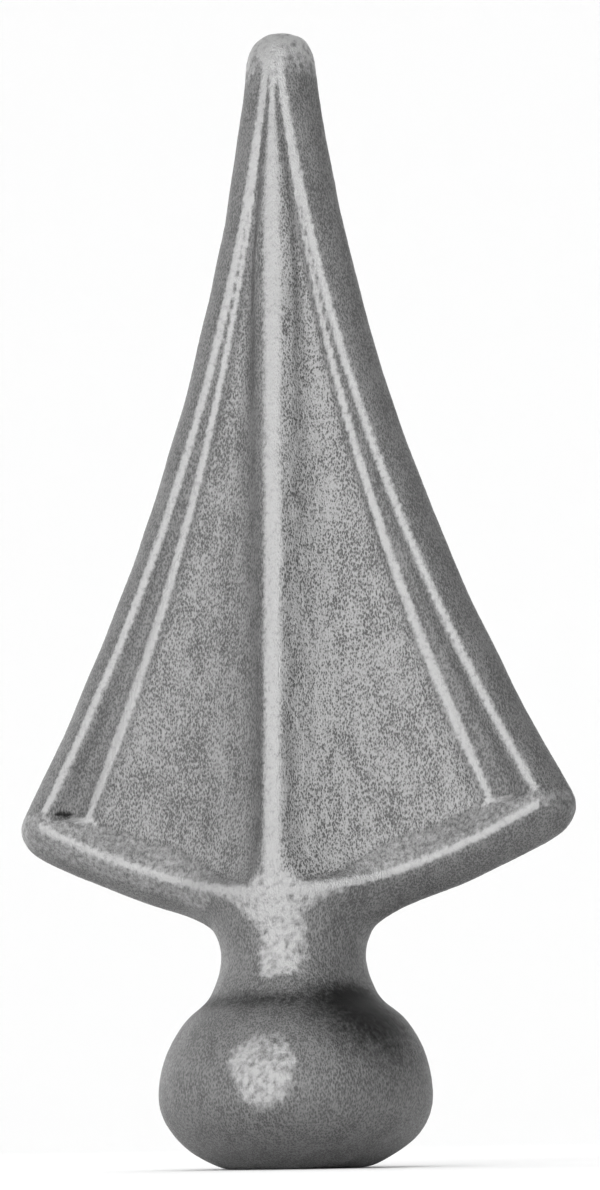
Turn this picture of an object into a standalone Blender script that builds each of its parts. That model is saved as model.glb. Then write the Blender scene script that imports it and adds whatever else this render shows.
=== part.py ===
"""Fence spear point: one iron casting, a barbed blade on a round neck and a flattened ball.

Metres, +Z up, the blade's broad front towards -Y. The origin is the middle of the flat seat
under the ball. The casting is alike left and right and front and back, so one quarter of its
skin is lofted from the seat to the tip, and two Mirror modifiers make the rest.
"""
import math

import bmesh
import bpy

# Whole casting
HEIGHT = 0.140              # seat to tip
BLADE_WIDTH = 0.0686        # barb to barb
BARB_HEIGHT = 0.0407        # the barbs, where the blade is widest, above the seat

# Rim round the blade: a ridge, and outside it a bevel that rounds into the edge
RIM_THICKNESS = 0.0078      # front ridge to back ridge
RIM_WIDTH = 0.0038          # ridge to edge, seen from the front
RIM_ROUNDNESS = 1.6         # 2 is a half round bead, 1 a plain bevel
CREST_MIDDLE_HEIGHT = 0.0313    # the bottom ridge where it meets the rib
CREST_SWEEP = 1.7           # how late the bottom ridge climbs to the barbs
SIDE_SWEEP = 2.2            # how hollow the long sides are
SIDE_STRAIGHT = 0.40        # share of the sides' taper that is straight
TIP_RIDGE = 0.00065         # side ridge to middle, at the tip

# Carving inside the rim
RIB_DEPTH = 0.0089          # rib top to mid-plane, at the bottom ridge
RIB_TIP_DEPTH = 0.0040      # the same at the tip
RIB_WIDTH = 0.0048          # foot to foot
RIB_RISE = 0.0018           # rib top above the panel beside it
RIB_FLARE = 0.0065          # middle to the rib's foot, along the bottom ridge
RIB_MOST = 0.5              # the rib's foot stays inside this share of the way to the side ridge
STAR_REACH = 0.0125         # middle to where the neck's round front has sunk into the bottom ridge
FLARE_ROUNDNESS = 6         # how sharply that round front turns into the ridge
GROOVE_DEPTH = 0.0017       # outer groove below the rim
GROOVE_SHARE = 0.55         # outer groove's place, as a share of the way from bead to side ridge
BEAD_DEPTH = 0.0008         # inner bead below the rim
BEAD_SHARE = 0.81           # inner bead's place, as a share of the way to the side ridge
BEAD_FLANK = 0.0014         # inner bead's top to the panel
FLANK_MOST = 0.3            # the flank takes no more than this share of the way from rib to bead
PANEL_EDGE_DEPTH = 0.0015   # panel below the rim, beside the bead
PANEL_HOLLOW = 2.6          # how late the panels rise to the rib; 1 is a straight slope
PANEL_FADE = 0.6            # how slowly the panels come up to the rim on the way to the tip
SLOPE_WIDTH = 0.0038        # smooth slope above the bottom ridge
SLOPE_MIDDLE = 0.35         # share of that width left beside the rib
SLOPE_MIDDLE_SPAN = (0.17, 0.45)    # where it widens, as shares of the way to the barb
SLOPE_CORNER = 0.5          # share of that width left at the barb
SLOPE_CORNER_SPAN = (0.74, 1.0)     # where it narrows again
TIP_DOME = 0.006            # length of the rounded nub at the tip
TIP_FLAT = 0.46             # share of the nub's section left flat on top

# Neck and ball
NECK_DIAMETER = 0.0173
NECK_HEIGHT = 0.0244        # the neck's waist above the seat
COLLAR_DIAMETER = 0.0206    # crease where the neck meets the ball
COLLAR_HEIGHT = 0.0195
BALL_DIAMETER = 0.0326
BALL_HEIGHT = 0.0083        # the ball's widest ring above the seat
SEAT_DIAMETER = 0.0170
CROTCH_REACH = 0.0135       # middle to where the neck's fillet runs out, along the bottom ridge
NECK_SHARE = 0.4            # share of the fillet that belongs to the neck

# Mesh steps
RIB_STEPS = 5
PANEL_SHARES = (0.08, 0.17, 0.28, 0.42, 0.60, 0.80, 1.0)
RIDGE_STEPS = 2
RIM_STEPS = 4
SLOPE_SHARES = (0.0, 0.35, 0.70, 0.92)
BLADE_STEPS = 30
DOME_STEPS = 6
NECK_STEPS = 6
FILLET_STEPS = 2
COLLAR_STEPS = 4
BALL_STEPS = 12
SOFTENING = 4               # passes that soften the flare at the neck, and the nub of the tip
LEAN_STEP = 0.01            # share of a ridge's length over which its lean is measured
MERGE_DISTANCE = 0.00001

RIM_DEPTH = RIM_THICKNESS / 2
NECK_RADIUS = NECK_DIAMETER / 2
BALL_RADIUS = BALL_DIAMETER / 2
BARB_RIDGE = BLADE_WIDTH / 2 - RIM_WIDTH
RIDGE_TOP = HEIGHT - RIM_WIDTH


def ease(t):
    """Smooth step from 0 to 1."""
    t = min(max(t, 0.0), 1.0)
    return t * t * (3 - 2 * t)


def mix(a, b, t):
    """Straight blend of two numbers, or of two points."""
    if isinstance(a, tuple):
        return tuple(mix(p, q, t) for p, q in zip(a, b))
    return a + (b - a) * t


def span_share(value, span):
    """Smooth step from 0 at the span's start to 1 at its end."""
    return ease((value - span[0]) / (span[1] - span[0]))


def side_ridge(z):
    """Half the width between the long side ridges at height z."""
    left = max((RIDGE_TOP - z) / (RIDGE_TOP - BARB_HEIGHT), 0.0)
    taper = SIDE_STRAIGHT * left + (1 - SIDE_STRAIGHT) * left ** SIDE_SWEEP
    return TIP_RIDGE + (BARB_RIDGE - TIP_RIDGE) * taper


def bottom_ridge(x):
    """Height of the bottom ridge at x from the middle."""
    climb = (x / BARB_RIDGE) ** CREST_SWEEP
    return CREST_MIDDLE_HEIGHT + (BARB_HEIGHT - CREST_MIDDLE_HEIGHT) * climb


def side_lean(z):
    """Angle of the side ridge's outward normal above level."""
    step = LEAN_STEP * (RIDGE_TOP - BARB_HEIGHT)
    return math.atan2(side_ridge(z) - side_ridge(z + step), step)


def bottom_lean(x):
    """Angle of the bottom ridge's outward normal, which is below level."""
    step = LEAN_STEP * BARB_RIDGE
    return math.atan2(bottom_ridge(x) - bottom_ridge(x - step), step) - math.pi / 2


BARB_TURN = side_lean(BARB_HEIGHT) - bottom_lean(BARB_RIDGE)
FAN = RIM_WIDTH * BARB_TURN / 2
SLOPE_END = side_ridge(BARB_HEIGHT + SLOPE_CORNER * SLOPE_WIDTH)


def past_barb(distance):
    """Where the edge point of a ridge point lies, past the round of the barb.

    Near the barb it is below nought, which is on the round itself.
    """
    return distance - FAN * math.exp(-distance / RIM_WIDTH)


def side_edge(z):
    """Edge point (x, z) that belongs to the side ridge point at height z."""
    past = past_barb(z - BARB_HEIGHT)
    foot = BARB_HEIGHT + max(past, 0.0)
    lean = side_lean(foot) + min(past, 0.0) / RIM_WIDTH
    return (side_ridge(foot) + RIM_WIDTH * math.cos(lean), foot + RIM_WIDTH * math.sin(lean))


def bottom_edge(x):
    """Edge point (x, z) that belongs to the bottom ridge point at x."""
    past = past_barb(BARB_RIDGE - x)
    foot = BARB_RIDGE - max(past, 0.0)
    lean = bottom_lean(foot) - min(past, 0.0) / RIM_WIDTH
    return (foot + RIM_WIDTH * math.cos(lean), bottom_ridge(foot) + RIM_WIDTH * math.sin(lean))


def fillet(t):
    """Edge point (x, z) between neck and blade, t from 0 at the neck's waist to 1 on the blade."""
    end_x, end_z = bottom_edge(CROTCH_REACH)
    slope = math.tan(bottom_lean(CROTCH_REACH) + math.pi / 2)
    waist = (NECK_RADIUS, NECK_HEIGHT)
    bend = (NECK_RADIUS, end_z - slope * (end_x - NECK_RADIUS))
    return mix(mix(waist, bend, t), mix(bend, (end_x, end_z), t), t)


def underside(x, first):
    """Edge point below the bottom ridge at x, on the fillet where it is near the first one."""
    if x > CROTCH_REACH:
        return bottom_edge(x)
    return fillet(mix(NECK_SHARE, 1.0, (x - first) / (CROTCH_REACH - first)))


def rim_section(turn):
    """Share of the way out and of the depth left, for a turn from 0 at the ridge to 1 at the edge."""
    angle = turn * math.pi / 2
    out = math.sin(angle) ** (2 / RIM_ROUNDNESS)
    return out, max(math.cos(angle), 0.0) ** (2 / RIM_ROUNDNESS)


def rib_depth(z):
    """Rib top to mid-plane at height z."""
    return mix(RIB_DEPTH, RIB_TIP_DEPTH, (z - CREST_MIDDLE_HEIGHT) / (RIDGE_TOP - CREST_MIDDLE_HEIGHT))


def carving(z, edge_z):
    """Points (x, depth) across the carved face, rib top to side ridge, for one row.

    z is the row's height at the rib, edge_z its height at the side ridge.
    """
    side = side_ridge(edge_z)
    bead_share = side / BARB_RIDGE
    panel_share = bead_share ** PANEL_FADE
    flare = (RIB_FLARE - RIB_WIDTH / 2) * math.exp(-(z - CREST_MIDDLE_HEIGHT) / (RIB_WIDTH / 2))
    foot = min(RIB_WIDTH / 2 + flare, RIB_MOST * side)
    bead = BEAD_SHARE * side
    flank = bead - min(BEAD_FLANK, FLANK_MOST * (bead - foot))
    groove = mix(bead, side, GROOVE_SHARE)
    foot_depth = rib_depth(z) - RIB_RISE * panel_share
    flank_depth = RIM_DEPTH - PANEL_EDGE_DEPTH * panel_share
    bead_depth = RIM_DEPTH - BEAD_DEPTH * bead_share
    groove_depth = RIM_DEPTH - GROOVE_DEPTH * bead_share
    points = []
    for step in range(RIB_STEPS + 1):
        t = step / RIB_STEPS
        fall = (1 + math.cos(math.pi * t * t)) / 2
        points.append((foot * t, mix(foot_depth, rib_depth(z), fall)))
    for t in PANEL_SHARES:
        points.append((mix(foot, flank, t), mix(flank_depth, foot_depth, (1 - t) ** PANEL_HOLLOW)))
    stops = [(flank, flank_depth), (bead, bead_depth), (groove, groove_depth), (side, RIM_DEPTH)]
    for start, end in zip(stops, stops[1:]):
        for step in range(1, RIDGE_STEPS + 1):
            t = step / RIDGE_STEPS
            points.append((mix(start[0], end[0], t), mix(start[1], end[1], ease(t))))
    return points


COLUMNS = RIB_STEPS + len(PANEL_SHARES) + 3 * RIDGE_STEPS


def slope_top(x):
    """Height where the smooth slope above the bottom ridge meets the panel."""
    middle = mix(SLOPE_MIDDLE, 1.0, span_share(x / BARB_RIDGE, SLOPE_MIDDLE_SPAN))
    corner = mix(1.0, SLOPE_CORNER, span_share(x / BARB_RIDGE, SLOPE_CORNER_SPAN))
    return bottom_ridge(x) + SLOPE_WIDTH * middle * corner


def blade_row(v):
    """One row (x, depth, z) of the carved face, v from 0 at the slope to 1 below the nub."""
    dome_start = HEIGHT - TIP_DOME
    edge_z = mix(slope_top(SLOPE_END), dome_start, v)
    middle_z = mix(slope_top(0.0), dome_start, v)
    stretch = SLOPE_END / side_ridge(edge_z)
    row = []
    for x, depth in carving(middle_z, edge_z):
        row.append((x, depth, mix(slope_top(x * stretch), dome_start, v)))
    return row


def bottom_row():
    """The bottom ridge itself (x, depth, z), which runs into the neck's front at the middle."""
    row = []
    for x, _, _ in blade_row(0.0):
        x = x * BARB_RIDGE / SLOPE_END
        if len(row) <= RIB_STEPS:
            x = RIB_FLARE * len(row) / RIB_STEPS
        round_front = RIB_DEPTH * math.sqrt(max(1 - (x / STAR_REACH) ** 2, 0.0))
        depth = (round_front ** FLARE_ROUNDNESS + RIM_DEPTH ** FLARE_ROUNDNESS) ** (1 / FLARE_ROUNDNESS)
        row.append((x, depth, bottom_ridge(x)))
    return row


def slope_row():
    """The slope's upper edge (x, depth, z): the first row of the face without groove and bead."""
    row = blade_row(0.0)
    flank, side = row[-1 - 3 * RIDGE_STEPS], row[-1]
    smooth = []
    for x, depth, z in row:
        if x > flank[0]:
            depth = mix(flank[1], side[1], (x - flank[0]) / (side[0] - flank[0]))
        smooth.append((x, depth, z))
    return smooth


def with_rim(row):
    """A row of the face with its bevel added, out to the edge."""
    x, depth, z = row[-1]
    edge_x, edge_z = side_edge(z)
    rim = []
    for step in range(1, RIM_STEPS + 1):
        out, left = rim_section(step / RIM_STEPS)
        rim.append((mix(x, edge_x, out), depth * left, mix(z, edge_z, out)))
    return row + rim


def evened(row, share):
    """The same section with its points slid towards even spacing."""
    lengths = [0.0]
    for a, b in zip(row, row[1:]):
        lengths.append(lengths[-1] + math.dist(a, b))
    even = []
    for index, length in enumerate(lengths):
        wanted = mix(length, lengths[-1] * index / (len(row) - 1), share)
        place = next(i for i, end in enumerate(lengths[1:]) if end >= wanted - MERGE_DISTANCE)
        t = (wanted - lengths[place]) / (lengths[place + 1] - lengths[place])
        even.append(mix(row[place], row[place + 1], min(t, 1.0)))
    return even


def blade_rows():
    """Every row from the bottom ridge to the flat of the tip."""
    rows = []
    for t in SLOPE_SHARES:
        rows.append(with_rim([mix(a, b, t) for a, b in zip(bottom_row(), slope_row())]))
    for step in range(BLADE_STEPS + 1):
        rows.append(with_rim(blade_row(step / BLADE_STEPS)))
    last = rows[-1]
    for step in range(1, DOME_STEPS + 1):
        t = step / DOME_STEPS
        rise = math.sin(t * math.pi / 2)
        size = mix(TIP_FLAT, 1.0, math.cos(t * math.pi / 2))
        row = evened(last, t)
        rows.append([(x * size, depth * size, mix(z, HEIGHT, rise)) for x, depth, z in row])
    return rows


def quarter_ring(side, front, z):
    """Quarter ring (x, depth, z) of the neck or ball with the given radii."""
    ring = []
    for step in range(NECK_STEPS + 1):
        angle = step / NECK_STEPS * math.pi / 2
        ring.append((side * math.sin(angle), front * math.cos(angle), z))
    return ring


def neck_rings():
    """Rings of the neck: down the fillet, wider to the sides, then a round cove to the collar."""
    rings = []
    for step in range(FILLET_STEPS + 1):
        side, z = fillet(mix(NECK_SHARE, 0.0, step / FILLET_STEPS))
        rib_share = (z - NECK_HEIGHT) / (CREST_MIDDLE_HEIGHT - NECK_HEIGHT)
        rings.append(quarter_ring(side, mix(NECK_RADIUS, RIB_DEPTH, rib_share), z))
    for step in range(1, COLLAR_STEPS + 1):
        t = step / COLLAR_STEPS
        radius = mix(NECK_RADIUS, COLLAR_DIAMETER / 2, t ** 2)
        rings.append(quarter_ring(radius, radius, mix(NECK_HEIGHT, COLLAR_HEIGHT, t)))
    return rings


def underside_rings():
    """Rings from the bottom ridge down: under the blade to its edge, and in to the neck."""
    ridge = bottom_row()
    neck = neck_rings()[0]
    first = ridge[NECK_STEPS][0]
    rings = [ridge]
    for step in range(1, RIM_STEPS + 1):
        t = step / RIM_STEPS
        out, left = rim_section(t)
        ring = []
        for column, (x, depth, z) in enumerate(ridge):
            if column < NECK_STEPS:
                blend = mix(out, ease(t), 1 - column / NECK_STEPS)
                ring.append(mix((x, depth, z), neck[column], blend))
            else:
                edge_x, edge_z = underside(x, first)
                ring.append((mix(x, edge_x, out), depth * left, mix(z, edge_z, out)))
        rings.append(ring)
    return rings


def ball_point(turn):
    """Radius and height on the ball, for a turn from 0 at the collar to 1 at the seat."""
    collar, seat = COLLAR_DIAMETER / 2, SEAT_DIAMETER / 2
    rise = (COLLAR_HEIGHT - BALL_HEIGHT) / math.sqrt(1 - (collar / BALL_RADIUS) ** 2)
    drop = BALL_HEIGHT / math.sqrt(1 - (seat / BALL_RADIUS) ** 2)
    angle = mix(math.acos(collar / BALL_RADIUS), -math.acos(seat / BALL_RADIUS), turn)
    height = rise if angle > 0 else drop
    return BALL_RADIUS * math.cos(angle), BALL_HEIGHT + height * math.sin(angle)


def foot_rings():
    """Rings from below the neck's top down to the middle of the seat."""
    rings = neck_rings()[1:]
    for step in range(1, BALL_STEPS + 1):
        radius, z = ball_point(step / BALL_STEPS)
        rings.append(quarter_ring(radius, radius, z))
    rings.append(quarter_ring(SEAT_DIAMETER / 4, SEAT_DIAMETER / 4, 0.0))
    return rings


def add_vertices(bm, points):
    """Vertices for a row of (x, depth, z) points on the front right quarter."""
    return [bm.verts.new((x, -depth, z)) for x, depth, z in points]


def add_strip(bm, lower, upper):
    """Quads between two rows of vertices, facing the front."""
    for a, b, c, d in zip(lower, lower[1:], upper[1:], upper):
        bm.faces.new((a, b, c, d))


def quarter_skin():
    """The front right quarter of the casting's skin, open at both mid-planes."""
    bm = bmesh.new()
    blade = [add_vertices(bm, row) for row in blade_rows()]
    for lower, upper in zip(blade, blade[1:]):
        add_strip(bm, lower, upper)
    tip_middle = bm.verts.new((0.0, 0.0, HEIGHT))
    bm.faces.new(blade[-1] + [tip_middle])

    rings = [blade[0][:COLUMNS + 1]]
    for ring in underside_rings()[1:]:
        rings.append(add_vertices(bm, ring))
    for upper, lower in zip(rings, rings[1:]):
        add_strip(bm, lower, upper)
    join_barb(bm, blade[0][COLUMNS:], [ring[-1] for ring in rings])

    foot = [rings[-1][:NECK_STEPS + 1]]
    for ring in foot_rings():
        foot.append(add_vertices(bm, ring))
    for upper, lower in zip(foot, foot[1:]):
        add_strip(bm, lower, upper)
    seat_middle = bm.verts.new((0.0, 0.0, 0.0))
    for a, b in zip(foot[-1], foot[-1][1:]):
        bm.faces.new((seat_middle, b, a))
    soften(bm, first_points(blade[:1] + rings[1:] + foot[1:FILLET_STEPS + 1], NECK_STEPS + 2))
    soften(bm, first_points(blade[BLADE_STEPS:-1], COLUMNS + 2))
    return bm


def first_points(rows, count):
    """The first vertices of each row, apart from those on the outline."""
    return [vert for row in rows for vert in row[:count] if abs(vert.co.y) > MERGE_DISTANCE]


def soften(bm, verts):
    """Blend the vertices into their neighbours, with those on a mid-plane kept on it."""
    for _ in range(SOFTENING):
        bmesh.ops.smooth_vert(
            bm, verts=verts, factor=0.5,
            mirror_clip_x=True, mirror_clip_y=True, clip_dist=MERGE_DISTANCE,
            use_axis_x=True, use_axis_y=True, use_axis_z=True,
        )


def join_barb(bm, side_line, bottom_line):
    """Make the side rim and the bottom rim share one line of vertices across the barb."""
    targets = dict(zip(bottom_line[1:], side_line[1:]))
    bmesh.ops.weld_verts(bm, targetmap=targets)


def cast_iron():
    """Raw grey iron as it leaves the sand."""
    material = bpy.data.materials.new("cast_iron")
    material.use_nodes = True
    shader = material.node_tree.nodes["Principled BSDF"]
    shader.inputs["Base Color"].default_value = (0.33, 0.33, 0.33, 1.0)
    shader.inputs["Metallic"].default_value = 0.85
    shader.inputs["Roughness"].default_value = 0.5
    material.diffuse_color = (0.33, 0.33, 0.33, 1.0)
    return material


def spear_point(collection):
    """The whole casting, mirrored from its quarter."""
    bm = quarter_skin()
    mesh = bpy.data.meshes.new("spear_point")
    bm.to_mesh(mesh)
    bm.free()
    mesh.shade_smooth()
    mesh.materials.append(cast_iron())
    casting = bpy.data.objects.new("spear_point", mesh)
    collection.objects.link(casting)
    mirror = casting.modifiers.new("Both sides", "MIRROR")
    mirror.use_axis = (True, True, False)
    mirror.merge_threshold = MERGE_DISTANCE
    mirror.use_clip = True
    return casting


def main():
    for old in list(bpy.data.objects):
        bpy.data.objects.remove(old, do_unlink=True)
    collection = bpy.data.collections.new("fence_spear_point")
    bpy.context.scene.collection.children.link(collection)
    spear_point(collection)


main()
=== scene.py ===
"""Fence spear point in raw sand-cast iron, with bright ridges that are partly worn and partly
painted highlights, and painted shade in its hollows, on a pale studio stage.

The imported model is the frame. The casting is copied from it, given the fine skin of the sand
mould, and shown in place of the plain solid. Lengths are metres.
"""
import math

import bmesh
import bpy
import numpy as np
from bpy.props import FloatProperty, FloatVectorProperty, PointerProperty
from bpy.types import Operator, Panel, PropertyGroup
from mathutils import Matrix, Vector, noise


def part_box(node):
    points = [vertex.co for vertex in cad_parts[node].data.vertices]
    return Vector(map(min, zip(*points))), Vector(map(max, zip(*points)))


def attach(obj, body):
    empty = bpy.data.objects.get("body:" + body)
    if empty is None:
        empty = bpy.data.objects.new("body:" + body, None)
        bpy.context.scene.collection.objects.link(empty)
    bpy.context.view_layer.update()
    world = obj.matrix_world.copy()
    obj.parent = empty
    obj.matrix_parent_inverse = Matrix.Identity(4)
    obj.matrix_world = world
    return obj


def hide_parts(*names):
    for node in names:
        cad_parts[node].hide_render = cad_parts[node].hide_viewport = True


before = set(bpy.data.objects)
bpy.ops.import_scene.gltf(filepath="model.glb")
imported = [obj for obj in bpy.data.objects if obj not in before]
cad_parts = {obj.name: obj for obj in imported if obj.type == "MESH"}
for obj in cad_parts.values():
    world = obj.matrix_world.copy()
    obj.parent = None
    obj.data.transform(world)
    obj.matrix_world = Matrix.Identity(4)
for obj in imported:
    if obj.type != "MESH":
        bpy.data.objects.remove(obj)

bl_info = {
    "name": "Fence Spear Point",
    "version": (1, 0, 0),
    "blender": (4, 5, 0),
    "location": "3D View > Sidebar > Spear Point",
    "description": "Dresses a cast fence spear point and sets up a studio round it",
    "category": "Object",
}

CASTING = "spear_point"
LOW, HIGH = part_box(CASTING)
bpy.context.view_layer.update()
MILLIMETRE = 0.001
MOST_TRIANGLES = 200_000


class SkinSettings(PropertyGroup):
    """Sizes of the casting's skin."""

    step: FloatProperty(
        name="Skin step", description="Edge length of the fine skin's faces",
        default=0.42 * MILLIMETRE, subtype="DISTANCE", unit="LENGTH", precision=6)
    wobble_height: FloatProperty(
        name="Wobble height", description="How far the hand-made pattern strays from true",
        default=0.14 * MILLIMETRE, subtype="DISTANCE", unit="LENGTH", precision=6)
    wobble_size: FloatProperty(
        name="Wobble size", description="Distance between two swellings",
        default=7 * MILLIMETRE, subtype="DISTANCE", unit="LENGTH", precision=6)
    grain_height: FloatProperty(
        name="Grain height", description="Height of the sand's coarse grain",
        default=0.05 * MILLIMETRE, subtype="DISTANCE", unit="LENGTH", precision=6)
    grain_size: FloatProperty(
        name="Grain size", description="Distance between two coarse grains",
        default=0.8 * MILLIMETRE, subtype="DISTANCE", unit="LENGTH", precision=6)
    streak_height: FloatProperty(
        name="Streak height", description="Height of the upright streaks on the panels",
        default=0.04 * MILLIMETRE, subtype="DISTANCE", unit="LENGTH", precision=6)
    streak_width: FloatProperty(
        name="Streak width", description="Distance between two streaks",
        default=1.0 * MILLIMETRE, subtype="DISTANCE", unit="LENGTH", precision=6)
    streak_length: FloatProperty(
        name="Streak length", description="Length of a streak",
        default=5 * MILLIMETRE, subtype="DISTANCE", unit="LENGTH", precision=6)
    crease_depth: FloatProperty(
        name="Crease depth", description="Depth of the crease between neck and ball",
        default=0.2 * MILLIMETRE, subtype="DISTANCE", unit="LENGTH", precision=6)
    crease_width: FloatProperty(
        name="Crease width", description="Half width of that crease",
        default=1.3 * MILLIMETRE, subtype="DISTANCE", unit="LENGTH", precision=6)


class IronSettings(PropertyGroup):
    """Colours and gloss of the iron."""

    skin: FloatVectorProperty(
        name="Skin colour", description="Raw iron as it leaves the sand",
        default=(0.11, 0.11, 0.11), subtype="COLOR", min=0.0, max=1.0)
    # Glint colour: bright facets of the grain painted into the colour as glints
    glint: FloatVectorProperty(
        name="Glint colour", description="Painted glints on the grain's facets",
        default=(0.37, 0.37, 0.37), subtype="COLOR", min=0.0, max=1.0)
    # Painted highlights and wear: bare metal on the rubbed ridges, and light painted on the neck,
    # ball and slopes
    worn_and_lit: FloatVectorProperty(
        name="Wear and highlight colour", description="Rubbed bare metal and painted highlights",
        default=(0.40, 0.40, 0.40), subtype="COLOR", min=0.0, max=1.0)
    # Painted shade: the colour laid in the hollows, the crease, the pit, down the ball and on the
    # undersides
    painted_shade: FloatVectorProperty(
        name="Hollow colour", description="Painted shade in the hollows, the crease and the undersides",
        default=(0.02, 0.02, 0.02), subtype="COLOR", min=0.0, max=1.0)
    roughness: FloatProperty(
        name="Roughness", description="Roughness of the cast skin",
        default=0.54, min=0.0, max=1.0, subtype="FACTOR")
    worn_roughness: FloatProperty(
        name="Worn roughness", description="Roughness of the rubbed ridges",
        default=0.45, min=0.0, max=1.0, subtype="FACTOR")
    grain_size: FloatProperty(
        name="Fine grain size", description="Distance between two grains of sand",
        default=0.21 * MILLIMETRE, subtype="DISTANCE", unit="LENGTH", precision=6)
    grain_relief: FloatProperty(
        name="Fine grain relief", description="Height of the fine grain in the shading",
        default=0.13 * MILLIMETRE, subtype="DISTANCE", unit="LENGTH", precision=6)


class StudioSettings(PropertyGroup):
    """The stage, its lights and the camera."""

    floor_colour: FloatVectorProperty(
        name="Floor colour", description="Pale floor and backdrop",
        default=(0.98, 0.98, 0.98), subtype="COLOR", min=0.0, max=1.0)
    world_strength: FloatProperty(
        name="Surroundings", description="Brightness of the white surroundings",
        default=1.0, min=0.0)
    key_power: FloatProperty(
        name="Key light", description="Power of the big soft light in front",
        default=5.2, min=0.0, unit="POWER")
    left_power: FloatProperty(
        name="Left light", description="Power of the soft light that brightens the left edges",
        default=1.3, min=0.0, unit="POWER")
    camera_azimuth: FloatProperty(
        name="Camera azimuth", description="Turn of the camera round the casting, from its front",
        default=math.radians(15.0), subtype="ANGLE", unit="ROTATION")
    camera_elevation: FloatProperty(
        name="Camera elevation", description="Height of the camera above level",
        default=math.radians(-11.71), subtype="ANGLE", unit="ROTATION")
    camera_roll: FloatProperty(
        name="Camera roll", description="Turn of the picture about its middle",
        default=math.radians(-0.92), subtype="ANGLE", unit="ROTATION")
    camera_distance: FloatProperty(
        name="Camera distance", description="Camera to the point that it looks at",
        default=0.320, subtype="DISTANCE", unit="LENGTH")
    view_height: FloatProperty(
        name="View height", description="Height that the picture takes in at that distance",
        default=0.14424, subtype="DISTANCE", unit="LENGTH")


# How the coarse mesh is merged and smoothed
WELD = 0.002 * MILLIMETRE
JOIN_BEND = math.radians(40)
JOIN_SHAPE = math.radians(60)
SMOOTH_LEVELS = 2

# Shapes that the skin is told apart by, measured from the seat and the middle
RIM_WIDTH = 3.8 * MILLIMETRE
SIDE_REACH = HIGH.x - RIM_WIDTH     # middle to the outer ridge at the barbs
BEAD_SHARE = 0.81           # the inner bead's share of the way to the outer ridge
BEAD_FLANK = 1.2 * MILLIMETRE
BARB_HEIGHT = 40.7 * MILLIMETRE
CREST_MIDDLE = 31.3 * MILLIMETRE    # the bottom ridge's height in the middle
CREST_SWEEP = 1.7           # how sharply that ridge turns up towards the barbs
SLOPE_WIDTH = 3.8 * MILLIMETRE      # the smooth slope above that ridge
SLOPE_MIDDLE = 0.35         # it narrows to this share in the middle
SLOPE_MIDDLE_SPAN = (0.17, 0.45)
SLOPE_CORNER = 0.5          # and to this share at the barbs
SLOPE_CORNER_SPAN = (0.74, 1.0)
CREASE_HEIGHT = 19.1 * MILLIMETRE
NECK_HEIGHT = 24.4 * MILLIMETRE

# How the rough skin of the panels fades out and differs from side to side, with painted light and
# shade in its glints
PANEL_FADE = 0.4 * MILLIMETRE
PANEL_FADE_ABOVE = 0.6 * MILLIMETRE
SMOOTH_SHADED_BAND = (2.2 * MILLIMETRE, 5.0 * MILLIMETRE)      # smoother skin on the rib's left, with fewer painted glints: painted shade
SMOOTH_SHADED_BAND_EFFECT = 0.7    # how much smoother
ROUGH_LIT_BAND = (4 * MILLIMETRE, 12 * MILLIMETRE)      # rougher skin on its right, with more painted glints: painted light
SIDE_ROUGHNESS_AND_LIGHT = 0.22       # what the right panel has more than 1, and the left one less, in roughness and in painted glints
SIDE_SPAN = 2 * MILLIMETRE  # from the middle to where the panels differ fully
PLAIN_GRAIN = 0.5           # share of the coarse grain's height that is left off the panels
SEAT_FADE = (0.2 * MILLIMETRE, 2 * MILLIMETRE)      # the skin is true at the seat, uneven above

# How the wear, the painted highlights and the painted shade follow the form
PROUD_PASSES = 4            # rounds of smoothing that a ridge is measured against
PROUD_SCALE = 0.07 * MILLIMETRE     # height above the smoothed skin that counts as a full ridge
RIDGE_EFFECT = 0.6          # wear and painted highlight on such a full ridge, and as much painted shade in a full hollow
RIB_LINE = 1.35 * MILLIMETRE        # half width of the bright line on the rib
RIB_LINE_SHARE = 0.35       # it takes no more than this share of the way to the side ridge
RIB_LINE_SIDE = RIM_WIDTH / 4       # which counts as no less than this near the tip
BEAD_LINE = 0.95 * MILLIMETRE       # half width of the bright line on the inner bead
BEAD_START = 0.5            # it starts at this share of that width at the barbs
BEAD_LEAST_SIDE = 0.05      # and narrows with the blade until that is this share as wide
RIDGE_LINE = 0.65 * MILLIMETRE      # half width of the bright lines on the outer ridges
LEDGE_SHARE = 0.6           # the ledge's bright line, as a share of that width
LINE_EDGE = 4               # the higher, the sharper the bright lines' edges
STAR_ARM = 8.5 * MILLIMETRE         # middle to the end of the star's arm, which is worn and carries a painted highlight
STAR_LIP = 1.2 * MILLIMETRE         # reach of the arms' ends above and below the bottom ridge
STAR_DEEP = 5.5 * MILLIMETRE        # how far they reach below it in the middle
STAR_SPREAD = 0.8           # the share of an arm over which that falls to the ends' reach
STAR_FADE = (1.3, 0.7)      # shares of that reach where the wear and painted highlight start and are full
STAR_FLARE = 3 * MILLIMETRE         # how much further they reach up beside the rib's foot
FLARE_SPREAD = 0.5          # the share of an arm over which the flare runs out
FLARE_FADE = 0.5            # the share of the flare's height that is fully bright
STAR_EDGE = 8               # the higher, the sharper the ends of the arms and the patch's edge
STRIPE_MIDDLE = 0.9 * MILLIMETRE    # painted highlight down the neck's front, as a stripe
STRIPE_HALF_WIDTH = 3.1 * MILLIMETRE
STRIPE_END = 20.8 * MILLIMETRE
STRIPE_EDGE = 6
PATCH_PLACE = (0.7 * MILLIMETRE, 11.0 * MILLIMETRE)     # bright patch on the ball's front: partly worn, partly a painted highlight
PATCH_RADIUS = 4.6 * MILLIMETRE
PATCH_RAGGED = 0.35
TIP_NUB = (9 * MILLIMETRE, 3 * MILLIMETRE)      # below the tip, the wear starts and is full here
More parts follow.
